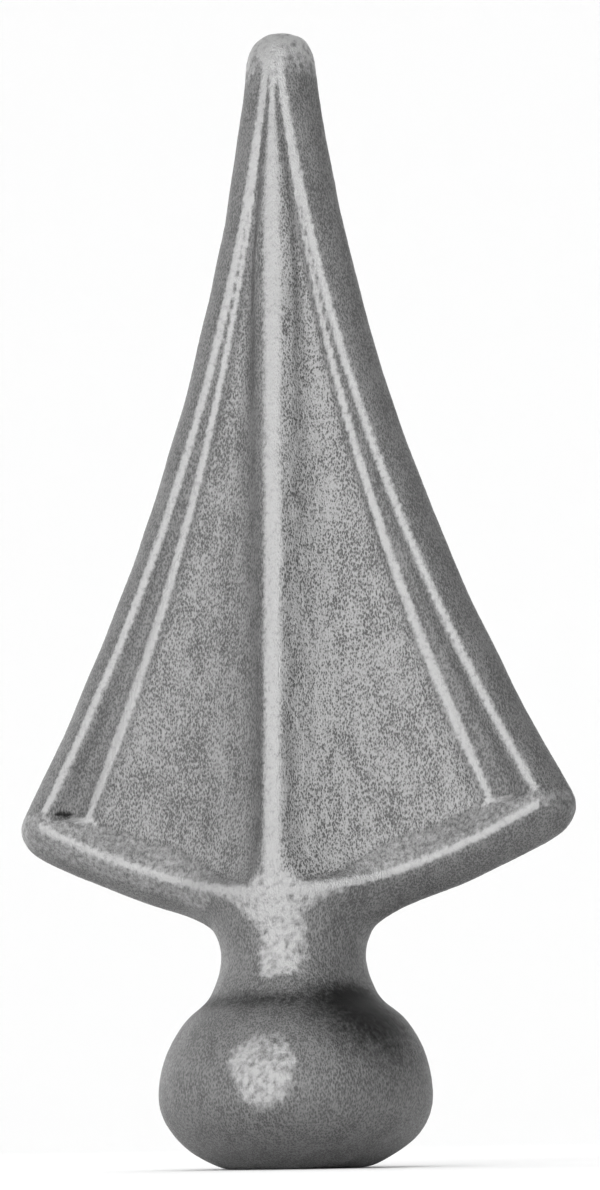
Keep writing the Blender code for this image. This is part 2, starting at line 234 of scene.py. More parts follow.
# wear and painted highlight on the bright lines of the ridges
LINE_WEAR_AND_LIGHT = 0.72
RIB_SHARE = 0.95            # the rib's part of that wear and painted highlight
# wear and painted highlight on the star, the neck's front, the tip and the ball's patch
STAR_WEAR_AND_LIGHT = 0.61
BLOTCH_EFFECT = 0.6         # how unevenly the wear and painted highlight of the star and the patch are laid
BLOTCH_SIZE = (0.55 * MILLIMETRE, 0.8 * MILLIMETRE)
# painted light on the smooth slope above the bottom ridge, which faces up
SLOPE_LIGHT = 0.42
LEFT_BEVEL = 5 * MILLIMETRE         # the same painted light runs this far down the bevel on the left
LEFT_BEVEL_SPAN = (6 * MILLIMETRE, 12 * MILLIMETRE)     # and sets in between these two x
# painted shade in the crease between neck and ball
CREASE_SHADE = 0.62
UNDERSIDE_SHADE = 0.65         # painted shade on the blade's underside
UNDERSIDE_FACING = (0.55, 0.95)   # how far down the skin faces where it starts and is full
SHADE_RUN_TURN = math.radians(55)   # painted shade runs down the ball here, round from the front
SHADE_RUN_LEAN = math.radians(1.2) / MILLIMETRE     # and turns by this much on the way down
SHADE_RUN_HALF_TURN = math.radians(40)
SHADE_RUN_DROP = 14 * MILLIMETRE        # length of that run
SHADE_RUN_RISE = 3              # it sets in this many crease widths above the crease
SHADE_RUN_STRENGTH = 1.7        # how much darker it is than the crease

# Flaws of this casting: place (x, z) on the front, half width, half height, rise (below 0, a pit)
FLAWS = (
    (-27.7 * MILLIMETRE, 42.2 * MILLIMETRE, 1.1 * MILLIMETRE, 0.4 * MILLIMETRE, -0.1 * MILLIMETRE),
    (-8.6 * MILLIMETRE, 72.2 * MILLIMETRE, 0.5 * MILLIMETRE, 0.9 * MILLIMETRE, 0.2 * MILLIMETRE),
)


def merged_copy(node):
    """The CAD node's mesh with its loose triangles joined, as a new bmesh."""
    bm = bmesh.new()
    bm.from_mesh(node.data)
    bmesh.ops.remove_doubles(bm, verts=bm.verts, dist=WELD)
    bmesh.ops.recalc_face_normals(bm, faces=bm.faces)
    bmesh.ops.join_triangles(
        bm, faces=bm.faces, angle_face_threshold=JOIN_BEND, angle_shape_threshold=JOIN_SHAPE)
    return bm


def fine_mesh(bm, step):
    """A smooth skin with even faces, over the coarse one."""
    coarse = bpy.data.meshes.new("coarse")
    bm.to_mesh(coarse)
    holder = bpy.data.objects.new("coarse", coarse)
    bpy.context.scene.collection.objects.link(holder)
    smooth = holder.modifiers.new("Smooth", "SUBSURF")
    smooth.levels = smooth.render_levels = SMOOTH_LEVELS
    even = holder.modifiers.new("Even", "REMESH")
    even.mode = "VOXEL"
    even.voxel_size = step
    graph = bpy.context.evaluated_depsgraph_get()
    fine = bpy.data.meshes.new_from_object(holder.evaluated_get(graph))
    bpy.data.objects.remove(holder)
    bpy.data.meshes.remove(coarse)
    return fine


def blade_half_widths(node):
    """Heights and half widths of the blade's outline above the barbs, read from the frame."""
    outline = {}
    for vertex in node.data.vertices:
        x, y, z = vertex.co
        if abs(y) < WELD and z > BARB_HEIGHT:
            outline[round(z, 6)] = max(abs(x), outline.get(round(z, 6), 0.0))
    heights = sorted(outline)
    return np.array(heights), np.array([outline[z] for z in heights])


def bottom_ridge(x):
    """Height of the blade's bottom ridge at x from the middle."""
    share = np.clip(np.abs(x) / SIDE_REACH, 0.0, 1.0)
    return CREST_MIDDLE + (BARB_HEIGHT - CREST_MIDDLE) * share ** CREST_SWEEP


def smooth_steps(values, start, end):
    """Smooth step for an array, from 0 at start to 1 at end."""
    t = np.clip((values - start) / (end - start), 0.0, 1.0)
    return t * t * (3 - 2 * t)


def panel_share(places, heights, widths):
    """How rough the sunk panels are and how many painted glints they carry: under 1 on the left,
    over 1 on the right, which paints light on it, 0 off them.
    """
    x, z = np.abs(places[:, 0]), places[:, 2]
    edge = BEAD_SHARE * (np.interp(z, heights, widths) - RIM_WIDTH) - BEAD_FLANK
    inside = 1 - smooth_steps(x, edge - PANEL_FADE, edge + PANEL_FADE)
    foot = slope_top(x)
    above = smooth_steps(z, foot - PANEL_FADE, foot + PANEL_FADE_ABOVE)
    # fewer painted glints beside the rib's left: painted shade
    band = smooth_steps(-places[:, 0], 0.0, SMOOTH_SHADED_BAND[0])
    band *= 1 - smooth_steps(-places[:, 0], *SMOOTH_SHADED_BAND)
    # more painted glints on the right panel: painted light, along with rougher skin
    rough_and_lit = 1 + SIDE_ROUGHNESS_AND_LIGHT * np.clip(places[:, 0] / SIDE_SPAN, -1.0, 1.0)
    rough_and_lit += (places[:, 0] > 0) * (1 - smooth_steps(places[:, 0], *ROUGH_LIT_BAND))
    return inside * above * (rough_and_lit - SMOOTH_SHADED_BAND_EFFECT * band)


def mesh_arrays(mesh):
    """Places, normals and edges of a mesh as arrays."""
    places = np.empty(len(mesh.vertices) * 3)
    normals = np.empty(len(mesh.vertices) * 3)
    edges = np.empty(len(mesh.edges) * 2, dtype=int)
    mesh.vertices.foreach_get("co", places)
    mesh.vertices.foreach_get("normal", normals)
    mesh.edges.foreach_get("vertices", edges)
    return places.reshape(-1, 3), normals.reshape(-1, 3), edges.reshape(-1, 2)


def relaxed(values, edges, passes):
    """The values with each one drawn half way to its neighbours' mean, some times over."""
    count = len(values)
    links = np.bincount(edges.ravel(), minlength=count)
    for _ in range(passes):
        total = np.empty_like(values)
        for axis in range(values.shape[1]):
            column = values[:, axis]
            total[:, axis] = (
                np.bincount(edges[:, 0], column[edges[:, 1]], count)
                + np.bincount(edges[:, 1], column[edges[:, 0]], count))
        values = (values + total / links[:, None]) / 2
    return values


def proud_amount(places, normals, edges):
    """How far each place stands above the smoothed skin: over 0 on ridges, under 0 in hollows."""
    lowered = relaxed(places, edges, PROUD_PASSES)
    height = np.einsum("ij,ij->i", places - lowered, normals)
    return np.clip(height / PROUD_SCALE, -1.0, 1.0)


def slope_top(x):
    """Height where the smooth slope above the bottom ridge ends."""
    share = np.clip(x / SIDE_REACH, 0.0, 1.0)
    middle = SLOPE_MIDDLE + (1 - SLOPE_MIDDLE) * smooth_steps(share, *SLOPE_MIDDLE_SPAN)
    corner = 1 + (SLOPE_CORNER - 1) * smooth_steps(share, *SLOPE_CORNER_SPAN)
    return bottom_ridge(x) + SLOPE_WIDTH * middle * corner


def bright_line(distance, half_width):
    """1 on a line, about a third at this half width from it, and 0 well beyond."""
    return np.exp(-(distance / half_width) ** LINE_EDGE)


def bead_width(z, side):
    """Half width of the bead's bright line, narrow at the barbs and towards the tip."""
    share = np.clip(side / SIDE_REACH, BEAD_LEAST_SIDE, 1.0)
    grown = np.minimum(1.0, BEAD_START + (z - BARB_HEIGHT) / (BARB_HEIGHT / 2))
    return np.maximum(BEAD_LINE * grown * share ** 0.5, WELD)


def line_wear_and_light(places, heights, widths):
    """1 along the rib, the beads, the ledge and the ridges, which are worn and carry painted
    highlights, fading to 0 at their flanks.
    """
    x, z = np.abs(places[:, 0]), places[:, 2]
    side = np.interp(z, heights, widths) - RIM_WIDTH
    rib_width = np.minimum(RIB_LINE, RIB_LINE_SHARE * np.maximum(side, RIB_LINE_SIDE))
    rib = bright_line(x, rib_width) * smooth_steps(z, CREST_MIDDLE, CREST_MIDDLE + STAR_LIP)
    bead = bright_line(x - BEAD_SHARE * side, bead_width(z, side))
    outer = bright_line(x - side, RIDGE_LINE)
    above = smooth_steps(z, slope_top(x) - RIDGE_LINE, slope_top(x))
    bottom = bright_line(z - bottom_ridge(x), RIDGE_LINE) * (x < SIDE_REACH)
    ledge = bright_line(z - slope_top(x), LEDGE_SHARE * RIDGE_LINE)
    ledge *= (x > BEAD_SHARE * side - BEAD_LINE) * (x < 0.5 * (1 + BEAD_SHARE) * side)
    lines = np.maximum(np.maximum(RIB_SHARE * rib, bead * above), outer * above)
    return np.maximum(np.maximum(lines, bottom), ledge)


def slope_share(places):
    """1 on the smooth slope above the bottom ridge and on the left bevel below it, where light is
    painted on.
    """
    x, z = np.abs(places[:, 0]), places[:, 2]
    start = bottom_ridge(x)
    start -= LEFT_BEVEL * (places[:, 0] < 0) * smooth_steps(x, *LEFT_BEVEL_SPAN)
    share = smooth_steps(z, start, start + RIDGE_LINE)
    return share * (1 - smooth_steps(z, slope_top(x) - RIDGE_LINE, slope_top(x) + RIDGE_LINE))


def star_wear_and_light(places):
    """1 on the star under the rib and on the neck's front, which are worn and carry a painted
    highlight, and on the worn tip, fading to 0.
    """
    x, z = np.abs(places[:, 0]), places[:, 2]
    ridge = bottom_ridge(x)
    inner = 1 - smooth_steps(x, 0.0, STAR_SPREAD * STAR_ARM)
    deep = STAR_LIP + (STAR_DEEP - STAR_LIP) * inner
    flare = STAR_LIP + STAR_FLARE * (1 - smooth_steps(x, 0.0, FLARE_SPREAD * STAR_ARM))
    arms = np.exp(-(x / STAR_ARM) ** STAR_EDGE)
    arms *= 1 - smooth_steps(z, ridge + FLARE_FADE * flare, ridge + flare)
    arms *= smooth_steps(z, ridge - STAR_FADE[0] * deep, ridge - STAR_FADE[1] * deep)
    # painted highlight down the neck's front
    aside = (places[:, 0] - STRIPE_MIDDLE) / STRIPE_HALF_WIDTH
    stripe = np.exp(-aside ** STRIPE_EDGE)
    stripe *= smooth_steps(z, STRIPE_END, STRIPE_END + STAR_LIP)
    stripe *= 1 - smooth_steps(z, ridge, ridge + STAR_LIP)
    tip = smooth_steps(z, HIGH.z - TIP_NUB[0], HIGH.z - TIP_NUB[1])
    return np.maximum(np.maximum(arms, stripe), tip)


def patch_wear_and_light(places):
    """1 on the bright patch on the ball's front, partly worn and partly a painted highlight,
    fading to 0.
    """
    apart = np.hypot(places[:, 0] - PATCH_PLACE[0], places[:, 2] - PATCH_PLACE[1]) / PATCH_RADIUS
    apart += PATCH_RAGGED * stretched_noise(places, PATCH_RADIUS, PATCH_RADIUS)
    return np.exp(-apart ** STAR_EDGE) * (places[:, 1] < 0)


def crease_shade(places, width):
    """1 for the painted shade in the crease between neck and ball, and more for the painted shade
    that runs down the ball from it.
    """
    below = CREASE_HEIGHT - places[:, 2]
    band = np.exp(-(below / width) ** 2)
    # painted shade that runs down the ball's right flank
    turn = np.arctan2(places[:, 0], -places[:, 1]) - SHADE_RUN_TURN - SHADE_RUN_LEAN * below
    run = np.exp(-(turn / SHADE_RUN_HALF_TURN) ** 2) * (1 - smooth_steps(below, 0.0, SHADE_RUN_DROP))
    run *= smooth_steps(below, -SHADE_RUN_RISE * width, 0.0)
    return np.maximum(band, SHADE_RUN_STRENGTH * run)


def flaw_height(places):
    """Height added by the pit and the lump that this casting has on its front."""
    height = np.zeros(len(places))
    for x, z, wide, tall, rise in FLAWS:
        apart = ((places[:, 0] - x) / wide) ** 2 + ((places[:, 2] - z) / tall) ** 2
        height += rise * np.exp(-apart) * (places[:, 1] < 0)
    return height


def wear_and_light_amount(places, normals, edges, outline, settings):
    """Wear and painted highlights over 0 and painted shade under 0, from the ridges, the rubbed
    and lit places, the crease, the pit and the undersides.
    """
    on_blade = smooth_steps(places[:, 2], CREASE_HEIGHT, NECK_HEIGHT)
    # wear and painted highlight on the ridges, painted shade in the hollows
    proud = RIDGE_EFFECT * proud_amount(places, normals, edges) * on_blade
    # wear and painted highlight along the rib, the beads and the ridges
    proud = np.maximum(proud, LINE_WEAR_AND_LIGHT * line_wear_and_light(places, *outline) * on_blade)
    # painted light on the up-facing slope and the left bevel
    proud = np.maximum(proud, SLOPE_LIGHT * slope_share(places) * on_blade)
    blotch = 1 + BLOTCH_EFFECT * stretched_noise(places, *BLOTCH_SIZE)
    # wear and painted highlights on the star, the neck's front, the tip and the ball's patch
    rubbed_and_lit = np.maximum(star_wear_and_light(places), patch_wear_and_light(places)) * blotch
    proud = np.maximum(proud, STAR_WEAR_AND_LIGHT * rubbed_and_lit)
    # painted shade in the crease and down the ball
    dark = CREASE_SHADE * crease_shade(places, settings.crease_width)
    # painted shade on the undersides
    underside_shade = UNDERSIDE_SHADE * on_blade * smooth_steps(-normals[:, 2], *UNDERSIDE_FACING)
    # the pit is also darkened: painted shade
    pits = np.minimum(flaw_height(places) / PROUD_SCALE, 0.0)
    return np.clip(proud - dark - underside_shade + pits, -1.0, 1.0)


def stretched_noise(places, width, length):
    """One noise value per place, with swellings of this width across and this length in height."""
    scaled = places / np.array([width, width, length])
    return np.array([noise.noise(Vector(place)) for place in scaled])


def skin_height(places, panel, settings):
    """How far the skin stands out from the true form at each place."""
    wobble = stretched_noise(places, settings.wobble_size, settings.wobble_size)
    grain = stretched_noise(places, settings.grain_size, settings.grain_size)
    streak = stretched_noise(places, settings.streak_width, settings.streak_length)
    above_seat = smooth_steps(places[:, 2], *SEAT_FADE)
    height = wobble * settings.wobble_height + flaw_height(places)
    height += grain * settings.grain_height * (PLAIN_GRAIN + (1 - PLAIN_GRAIN) * panel)
    height += streak * settings.streak_height * panel
    rise = (places[:, 2] - CREASE_HEIGHT) / settings.crease_width
    height -= settings.crease_depth * np.exp(-rise ** 2)
    return height * above_seat


def add_attribute(mesh, name, values):
    """A value per vertex that the material reads."""
    attribute = mesh.attributes.new(name=name, type="FLOAT", domain="POINT")
    attribute.data.foreach_set("value", values.astype(np.float32))


def casting_skin(settings):
    """The finished mesh of the casting."""
    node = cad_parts[CASTING]
    bm = merged_copy(node)
    mesh = fine_mesh(bm, settings.step)
    bm.free()
    places, normals, edges = mesh_arrays(mesh)
    places = relaxed(places, edges, 1)
    outline = blade_half_widths(node)
    panel = panel_share(places, *outline)
    proud = wear_and_light_amount(places, normals, edges, outline, settings)
    places = places + normals * skin_height(places, panel, settings)[:, None]
    places[:, 2] = np.maximum(places[:, 2], LOW.z)
    mesh.vertices.foreach_set("co", places.ravel())
    # proud: wear and painted highlights above 0, painted shade below 0
    add_attribute(mesh, "proud", proud)
    add_attribute(mesh, "panel", panel)
    mesh.shade_smooth()
    mesh.update()
    return mesh


def new_group(name, inputs, outputs):
    """An empty node group with its named sockets, and its input and output nodes."""
    group = bpy.data.node_groups.new(name, "ShaderNodeTree")
    for socket, kind, value in inputs:
        made = group.interface.new_socket(socket, in_out="INPUT", socket_type=kind)
        if value is not None:
            made.default_value = value
    for socket, kind in outputs:
        group.interface.new_socket(socket, in_out="OUTPUT", socket_type=kind)
    return group, group.nodes.new("NodeGroupInput"), group.nodes.new("NodeGroupOutput")


def add_node(tree, kind, values=None, **options):
    """A node with its options and input values set."""
    node = tree.nodes.new(kind)
    for name, value in options.items():
        setattr(node, name, value)
    for socket, value in (values or {}).items():
        node.inputs[socket].default_value = value
    return node


# Grain height at which a facet starts to glitter, and at which it glitters fully; the iron paints
# this glitter into its colour as glints
GLITTER_START = 0.40
GLITTER_FULL = 0.60
# The fine grain: its size where a material sets none, and how it is drawn out upright
GRAIN_SIZE = 0.4 * MILLIMETRE
GRAIN_STRETCH = (1.0, 1.0, 0.5)
# It is soft noise mixed with a share of hard facets
GRAIN_DETAIL = 4.0
GRAIN_ROUGHNESS = 0.8
FACET_SCALE = 1.1
FACET_SHARE = 0.35
# The glitter comes in clumps: their frequency against a grain's, their detail, and how much
# they add to a grain's height or take from it where the glitter is worked out
CLUMP_SCALE = 0.10
CLUMP_DETAIL = 2.0
CLUMP_EFFECT = 0.12
# Values between which the skin turns bright with wear and painted highlights, and those between
# which it turns dark with painted shade
BRIGHT_START = 0.22
BRIGHT_FULL = 0.75
SHADE_START = -0.15
SHADE_FULL = -1.0
# How ragged the edges of the wear, the painted highlights and the painted shade are, and the size
# of their patches
RAGGEDNESS = 0.8
RAGGED_PATCH = 0.6 * MILLIMETRE
RAGGED_DETAIL = 3.0
RAGGED_ROUGHNESS = 0.6
NOISE_MIDDLE = 0.5
# Off the panels the skin has this share of their painted glints
PLAIN_GLINTS = 0.47
# The fine grain's relief off the panels and on them, as shares of the set one
PLAIN_RELIEF = 1.2
PANEL_RELIEF = 1.3


def sand_grain_group():
    """Fine grain left by the sand: its height, and the glitter of its facets."""
    group, start, end = new_group(
        "Sand grain",
        [("Vector", "NodeSocketVector", None), ("Size", "NodeSocketFloat", GRAIN_SIZE)],
        [("Height", "NodeSocketFloat"), ("Glitter", "NodeSocketFloat")])
    links = group.links
    scale = add_node(group, "ShaderNodeMath", {0: 1.0}, operation="DIVIDE")
    links.new(start.outputs["Size"], scale.inputs[1])
    upright = add_node(group, "ShaderNodeVectorMath", {1: GRAIN_STRETCH}, operation="MULTIPLY")
    links.new(start.outputs["Vector"], upright.inputs[0])
    place = add_node(group, "ShaderNodeVectorMath", operation="SCALE")
    links.new(upright.outputs[0], place.inputs[0])
    links.new(scale.outputs[0], place.inputs["Scale"])
    grain = add_node(
        group, "ShaderNodeTexNoise",
        {"Scale": 1.0, "Detail": GRAIN_DETAIL, "Roughness": GRAIN_ROUGHNESS})
    facets = add_node(group, "ShaderNodeTexVoronoi", {"Scale": FACET_SCALE}, feature="F1")
    links.new(place.outputs[0], grain.inputs["Vector"])
    links.new(place.outputs[0], facets.inputs["Vector"])
    mixed = add_node(group, "ShaderNodeMix", {"Factor": FACET_SHARE}, data_type="FLOAT")
    links.new(grain.outputs["Fac"], mixed.inputs["A"])
    links.new(facets.outputs["Distance"], mixed.inputs["B"])
    links.new(mixed.outputs["Result"], end.inputs["Height"])
    clumps = add_node(
        group, "ShaderNodeTexNoise", {"Scale": CLUMP_SCALE, "Detail": CLUMP_DETAIL})
    links.new(place.outputs[0], clumps.inputs["Vector"])
    thick = add_node(
        group, "ShaderNodeMapRange", {"To Min": -CLUMP_EFFECT, "To Max": CLUMP_EFFECT})
    links.new(clumps.outputs["Fac"], thick.inputs["Value"])
    lifted = add_node(group, "ShaderNodeMath", operation="ADD")
    links.new(mixed.outputs["Result"], lifted.inputs[0])
    links.new(thick.outputs["Result"], lifted.inputs[1])
    # the glitter that the iron paints into its colour as glints
    glitter = add_node(
        group, "ShaderNodeMapRange",
        {"From Min": GLITTER_START, "From Max": GLITTER_FULL})
    links.new(lifted.outputs[0], glitter.inputs["Value"])
    links.new(glitter.outputs["Result"], end.inputs["Glitter"])
    return group


def wear_and_light_group():
    """Masks for the wear and painted highlights on the ridges and for the painted shade in the
    hollows and on the undersides, with ragged edges.
    """
    group, start, end = new_group(
        "Ridge wear and light",
        [("Proud", "NodeSocketFloat", 0.0), ("Vector", "NodeSocketVector", None),
         ("Reach", "NodeSocketFloat", BRIGHT_FULL), ("Raggedness", "NodeSocketFloat", RAGGEDNESS),
         ("Patch size", "NodeSocketFloat", RAGGED_PATCH)],
        [("Wear and light", "NodeSocketFloat"), ("Shade", "NodeSocketFloat")])
    links = group.links
    scale = add_node(group, "ShaderNodeMath", {0: 1.0}, operation="DIVIDE")
    links.new(start.outputs["Patch size"], scale.inputs[1])
    place = add_node(group, "ShaderNodeVectorMath", operation="SCALE")
    links.new(start.outputs["Vector"], place.inputs[0])
    links.new(scale.outputs[0], place.inputs["Scale"])
    patches = add_node(
        group, "ShaderNodeTexNoise",
        {"Scale": 1.0, "Detail": RAGGED_DETAIL, "Roughness": RAGGED_ROUGHNESS})
    links.new(place.outputs[0], patches.inputs["Vector"])
    centred = add_node(group, "ShaderNodeMath", {1: NOISE_MIDDLE}, operation="SUBTRACT")
    links.new(patches.outputs["Fac"], centred.inputs[0])
    ragged = add_node(group, "ShaderNodeMath", operation="MULTIPLY_ADD")
    links.new(centred.outputs[0], ragged.inputs[0])
    links.new(start.outputs["Raggedness"], ragged.inputs[1])
    links.new(start.outputs["Proud"], ragged.inputs[2])
    # mask of the wear and painted highlights
    wear_and_light = add_node(
        group, "ShaderNodeMapRange", {"From Min": BRIGHT_START}, interpolation_type="SMOOTHSTEP")
    links.new(ragged.outputs[0], wear_and_light.inputs["Value"])
    links.new(start.outputs["Reach"], wear_and_light.inputs["From Max"])
    links.new(wear_and_light.outputs["Result"], end.inputs["Wear and light"])
    # mask of the painted shade
    painted_shade = add_node(
        group, "ShaderNodeMapRange", {"From Min": SHADE_START, "From Max": SHADE_FULL},
        interpolation_type="SMOOTHSTEP")
    links.new(ragged.outputs[0], painted_shade.inputs["Value"])
    links.new(painted_shade.outputs["Result"], end.inputs["Shade"])
    return group


def placed_group(tree, group, values):
    """A node group placed in a material, with its values."""
    node = tree.nodes.new("ShaderNodeGroup")
    node.node_tree = group
    for socket, value in values.items():
        node.inputs[socket].default_value = value
    return node


def cast_iron(settings, grain_group, ridge_group):
    """Raw sand-cast iron with painted glints on its grain, brighter on its ridges from wear and
    painted highlights, and darker with painted shade in its hollows.
    """
    material = bpy.data.materials.new("cast_iron_skin")
    material.use_nodes = True
    tree = material.node_tree
    links = tree.links
    shader = tree.nodes["Principled BSDF"]
    shader.inputs["Metallic"].default_value = 1.0
    coordinates = add_node(tree, "ShaderNodeTexCoord")
    place = coordinates.outputs["Object"]
    proud = add_node(tree, "ShaderNodeAttribute", attribute_name="proud")
    panel = add_node(tree, "ShaderNodeAttribute", attribute_name="panel")
    grain = placed_group(tree, grain_group, {"Size": settings.grain_size})
    links.new(place, grain.inputs["Vector"])
    wear_and_light = placed_group(tree, ridge_group, {})
    links.new(place, wear_and_light.inputs["Vector"])
    links.new(proud.outputs["Fac"], wear_and_light.inputs["Proud"])

    # painted glints on the grain's facets, weighted by the panel share
    share = add_node(tree, "ShaderNodeMapRange", {"To Min": PLAIN_GLINTS}, clamp=False)
    links.new(panel.outputs["Fac"], share.inputs["Value"])
    bright = add_node(tree, "ShaderNodeMath", operation="MULTIPLY")
    links.new(grain.outputs["Glitter"], bright.inputs[0])
    links.new(share.outputs["Result"], bright.inputs[1])
    glints = colour_mix(tree, settings.skin, settings.glint, bright.outputs[0])
    # wear and painted highlights
    rubbed_and_lit = colour_mix(tree, glints, settings.worn_and_lit, wear_and_light.outputs["Wear and light"])
    # painted shade
    dark = colour_mix(tree, rubbed_and_lit, settings.painted_shade, wear_and_light.outputs["Shade"])
    links.new(dark, shader.inputs["Base Color"])

    gloss = add_node(
        tree, "ShaderNodeMapRange",
        {"To Min": settings.roughness, "To Max": settings.worn_roughness})
    links.new(wear_and_light.outputs["Wear and light"], gloss.inputs["Value"])
    links.new(gloss.outputs["Result"], shader.inputs["Roughness"])

    depth = add_node(
        tree, "ShaderNodeMapRange", {"To Min": PLAIN_RELIEF, "To Max": PANEL_RELIEF})
    links.new(panel.outputs["Fac"], depth.inputs["Value"])
    height = add_node(tree, "ShaderNodeMath", operation="MULTIPLY")
    links.new(grain.outputs["Height"], height.inputs[0])
    links.new(depth.outputs["Result"], height.inputs[1])
    bump = add_node(
        tree, "ShaderNodeBump", {"Strength": 1.0, "Distance": settings.grain_relief})
    links.new(height.outputs[0], bump.inputs["Height"])
    links.new(bump.outputs["Normal"], shader.inputs["Normal"])
    return material


def colour_mix(tree, first, second, factor):
    """A colour socket that goes from the first colour or socket to the second colour."""
    node = add_node(tree, "ShaderNodeMix", data_type="RGBA")
    colours = [socket for socket in node.inputs if socket.type == "RGBA"]
    if isinstance(first, bpy.types.NodeSocket):
        tree.links.new(first, colours[0])
    else:
        colours[0].default_value = (*first, 1.0)
    colours[1].default_value = (*second, 1.0)
    tree.links.new(factor, node.inputs["Factor"])
    return next(socket for socket in node.outputs if socket.type == "RGBA")


# The floor: a flat disc, and a rim that sweeps up round it
FLOOR_RADIUS = 3.0
SWEEP_RADIUS = 2.0
SWEEP_STEPS = 12
ROUND_STEPS = 64
FLOOR_ROUGHNESS = 0.8
FLOOR_GRAIN = 1 * MILLIMETRE
FLOOR_RELIEF = 0.02 * MILLIMETRE
FLOOR_RELIEF_STRENGTH = 0.1

# Lights and card: azimuth and elevation in degrees from the front, distance, width and height
KEY_PLACE = (-2.0, 8.0, 0.8, 0.66, 0.75)
LEFT_PLACE = (-115.0, 0.0, 0.6, 0.5, 0.7)
CARD_PLACE = (95.0, 0.0, 0.35, 0.32, 0.45)
FELT = (0.03, 0.03, 0.03, 1.0)      # the card's colour

# The camera looks at a point this far to its right of the middle and this high
AIM_ASIDE = 1.42 * MILLIMETRE
AIM_HEIGHT = 67.92 * MILLIMETRE
SENSOR_WIDTH = 36.0         # in millimetres, as Blender takes it
NEAREST = 0.01              # what is nearer than this is cut away


def floor_finish(settings, grain_group):
    """Pale matt board with a faint tooth."""
    material = bpy.data.materials.new("stage_board")
    material.use_nodes = True
    tree = material.node_tree
    shader = tree.nodes["Principled BSDF"]
    shader.inputs["Base Color"].default_value = (*settings.floor_colour, 1.0)
    shader.inputs["Roughness"].default_value = FLOOR_ROUGHNESS
    coordinates = add_node(tree, "ShaderNodeTexCoord")
    grain = placed_group(tree, grain_group, {"Size": FLOOR_GRAIN})
    bump = add_node(
        tree, "ShaderNodeBump", {"Strength": FLOOR_RELIEF_STRENGTH, "Distance": FLOOR_RELIEF})
    tree.links.new(coordinates.outputs["Object"], grain.inputs["Vector"])
    tree.links.new(grain.outputs["Height"], bump.inputs["Height"])
    tree.links.new(bump.outputs["Normal"], shader.inputs["Normal"])
    return material


def shared_group(name, maker):
    """The node group of that name, made the first time that it is asked for."""
    return bpy.data.node_groups.get(name) or maker()


def stage_floor(settings):
    """A round floor whose rim sweeps up, so that every view has the same pale background."""
    flat = FLOOR_RADIUS - SWEEP_RADIUS
    bm = bmesh.new()
    line = [bm.verts.new((0.0, 0.0, 0.0)), bm.verts.new((flat, 0.0, 0.0))]
    for step in range(1, SWEEP_STEPS + 1):
        turn = math.radians(90 * step / SWEEP_STEPS)
        out, up = SWEEP_RADIUS * math.sin(turn), SWEEP_RADIUS * (1 - math.cos(turn))
        line.append(bm.verts.new((flat + out, 0.0, up)))
    edges = [bm.edges.new(pair) for pair in zip(line, line[1:])]
    bmesh.ops.spin(
        bm, geom=line + edges, cent=(0, 0, 0), axis=(0, 0, 1), angle=math.tau,
        steps=ROUND_STEPS, use_merge=True)
    bmesh.ops.remove_doubles(bm, verts=bm.verts, dist=MILLIMETRE)
    bmesh.ops.recalc_face_normals(bm, faces=bm.faces)
    mesh = bpy.data.meshes.new("stage_floor")
    bm.to_mesh(mesh)
    bm.free()
    mesh.shade_smooth()
    floor = bpy.data.objects.new("stage_floor", mesh)
    bpy.context.scene.collection.objects.link(floor)
    floor.data.materials.append(
        floor_finish(settings, shared_group("Sand grain", sand_grain_group)))
    return floor


def direction(azimuth, elevation):
    """Unit vector from the casting towards that azimuth and elevation, 0 being its front."""
    return Vector((
        math.sin(azimuth) * math.cos(elevation),
        -math.cos(azimuth) * math.cos(elevation),
        math.sin(elevation)))


def soft_box(name, azimuth, elevation, distance, width, height, power):
    """A rectangular light that looks at the casting's middle and hides from the camera."""
    light = bpy.data.lights.new(name, "AREA")
    light.shape = "RECTANGLE"
    light.size, light.size_y = width, height
    light.energy = power
    lamp = bpy.data.objects.new(name, light)
    bpy.context.scene.collection.objects.link(lamp)
    towards = direction(math.radians(azimuth), math.radians(elevation))
    middle = (LOW + HIGH) / 2
    lamp.location = middle + towards * distance
    lamp.rotation_euler = (-towards).to_track_quat("-Z", "Y").to_euler()
    lamp.visible_camera = False
    return lamp


def dark_card(azimuth, elevation, distance, width, height):
    """A dark card beside the casting that the iron mirrors, out of the camera's sight."""
    bm = bmesh.new()
    bmesh.ops.create_grid(bm, x_segments=1, y_segments=1, size=0.5)
    bmesh.ops.scale(bm, vec=(width, height, 1.0), verts=bm.verts)
    mesh = bpy.data.meshes.new("stage_card")
    bm.to_mesh(mesh)
    bm.free()
    card = bpy.data.objects.new("stage_card", mesh)
    bpy.context.scene.collection.objects.link(card)
    towards = direction(math.radians(azimuth), math.radians(elevation))
    card.location = (LOW + HIGH) / 2 + towards * distance
    card.rotation_euler = towards.to_track_quat("Z", "Y").to_euler()
    card.visible_camera = False
    black = bpy.data.materials.new("stage_felt")
    black.use_nodes = True
    shader = black.node_tree.nodes["Principled BSDF"]
    shader.inputs["Base Color"].default_value = FELT
    shader.inputs["Roughness"].default_value = 1.0
    mesh.materials.append(black)
    return card


def surroundings(strength):
    """Even white light from all round."""
    world = bpy.data.worlds.new("studio")
    world.use_nodes = True
    background = world.node_tree.nodes["Background"]
    background.inputs["Color"].default_value = (1.0, 1.0, 1.0, 1.0)
    background.inputs["Strength"].default_value = strength
    bpy.context.scene.world = world


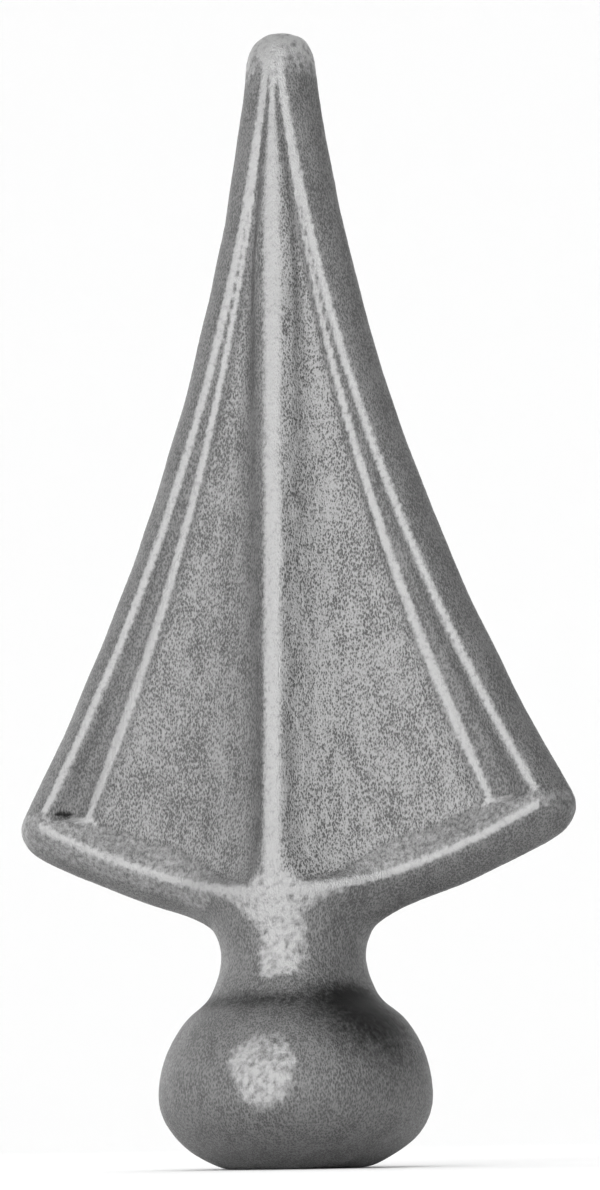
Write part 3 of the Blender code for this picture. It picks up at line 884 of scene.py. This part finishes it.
def studio_camera(settings):
    """The camera where the photograph was taken from."""
    azimuth, elevation = settings.camera_azimuth, settings.camera_elevation
    roll = settings.camera_roll
    back = direction(azimuth, elevation)
    right = Vector((math.cos(azimuth), math.sin(azimuth), 0.0))
    up = back.cross(right)
    rolled_right = math.cos(roll) * right + math.sin(roll) * up
    rolled_up = math.cos(roll) * up - math.sin(roll) * right
    place = Matrix((rolled_right, rolled_up, back)).transposed().to_4x4()
    aim = AIM_ASIDE * right + Vector((0.0, 0.0, AIM_HEIGHT))
    place.translation = aim + back * settings.camera_distance
    lens = bpy.data.cameras.new("photo_camera")
    lens.sensor_width = SENSOR_WIDTH
    lens.lens = SENSOR_WIDTH * settings.camera_distance / settings.view_height
    lens.clip_start = NEAREST
    camera = bpy.data.objects.new("photo_camera", lens)
    bpy.context.scene.collection.objects.link(camera)
    camera.matrix_world = place
    bpy.context.scene.camera = camera


class SPEAR_OT_casting(Operator):
    """Build the casting's fine iron skin in place of the plain solid"""

    bl_idname = "spear.casting"
    bl_label = "Build Casting"

    def execute(self, context):
        scene = context.scene
        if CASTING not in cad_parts:
            raise RuntimeError(f"The frame has no node named {CASTING}")
        mesh = casting_skin(scene.spear_skin)
        triangles = sum(len(face.vertices) - 2 for face in mesh.polygons)
        if not 0 < triangles < MOST_TRIANGLES:
            raise RuntimeError(f"The skin has {triangles} triangles; change the skin step")
        print("casting:", triangles, "triangles")
        mesh.name = "cast_spear_point"
        mesh.materials.clear()
        mesh.materials.append(cast_iron(
            scene.spear_iron,
            shared_group("Sand grain", sand_grain_group),
            shared_group("Ridge wear and light", wear_and_light_group)))
        piece = bpy.data.objects.new("cast_spear_point", mesh)
        scene.collection.objects.link(piece)
        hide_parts(CASTING)
        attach(piece, "root")
        return {"FINISHED"}


class SPEAR_OT_studio(Operator):
    """Build the pale stage, its soft lights and the camera"""

    bl_idname = "spear.studio"
    bl_label = "Build Studio"

    def execute(self, context):
        settings = context.scene.spear_studio
        stage_floor(settings)
        surroundings(settings.world_strength)
        soft_box("key_light", *KEY_PLACE, settings.key_power)
        soft_box("left_light", *LEFT_PLACE, settings.left_power)
        dark_card(*CARD_PLACE)
        studio_camera(settings)
        context.scene.view_settings.view_transform = "Standard"
        return {"FINISHED"}


class SPEAR_PT_panel(Panel):
    """Lists the steps and their sizes in the sidebar"""

    bl_label = "Spear Point"
    bl_idname = "SPEAR_PT_panel"
    bl_space_type = "VIEW_3D"
    bl_region_type = "UI"
    bl_category = "Spear Point"

    def draw(self, context):
        for settings, operator in (
            (context.scene.spear_skin, None),
            (context.scene.spear_iron, SPEAR_OT_casting.bl_idname),
            (context.scene.spear_studio, SPEAR_OT_studio.bl_idname),
        ):
            column = self.layout.column(align=True)
            for name in settings.__annotations__:
                column.prop(settings, name)
            if operator:
                column.operator(operator)


CLASSES = (
    SkinSettings, IronSettings, StudioSettings, SPEAR_OT_casting, SPEAR_OT_studio, SPEAR_PT_panel,
)


def register():
    """Add the classes and give the scene its settings."""
    for cls in CLASSES:
        bpy.utils.register_class(cls)
    bpy.types.Scene.spear_skin = PointerProperty(type=SkinSettings)
    bpy.types.Scene.spear_iron = PointerProperty(type=IronSettings)
    bpy.types.Scene.spear_studio = PointerProperty(type=StudioSettings)


def unregister():
    """Take the settings and the classes away again."""
    del bpy.types.Scene.spear_studio
    del bpy.types.Scene.spear_iron
    del bpy.types.Scene.spear_skin
    for cls in reversed(CLASSES):
        bpy.utils.unregister_class(cls)


def main():
    """Build everything in order; building the casting prints its triangle count."""
    register()
    bpy.ops.spear.casting()
    bpy.ops.spear.studio()


if __name__ == "__main__":
    main()
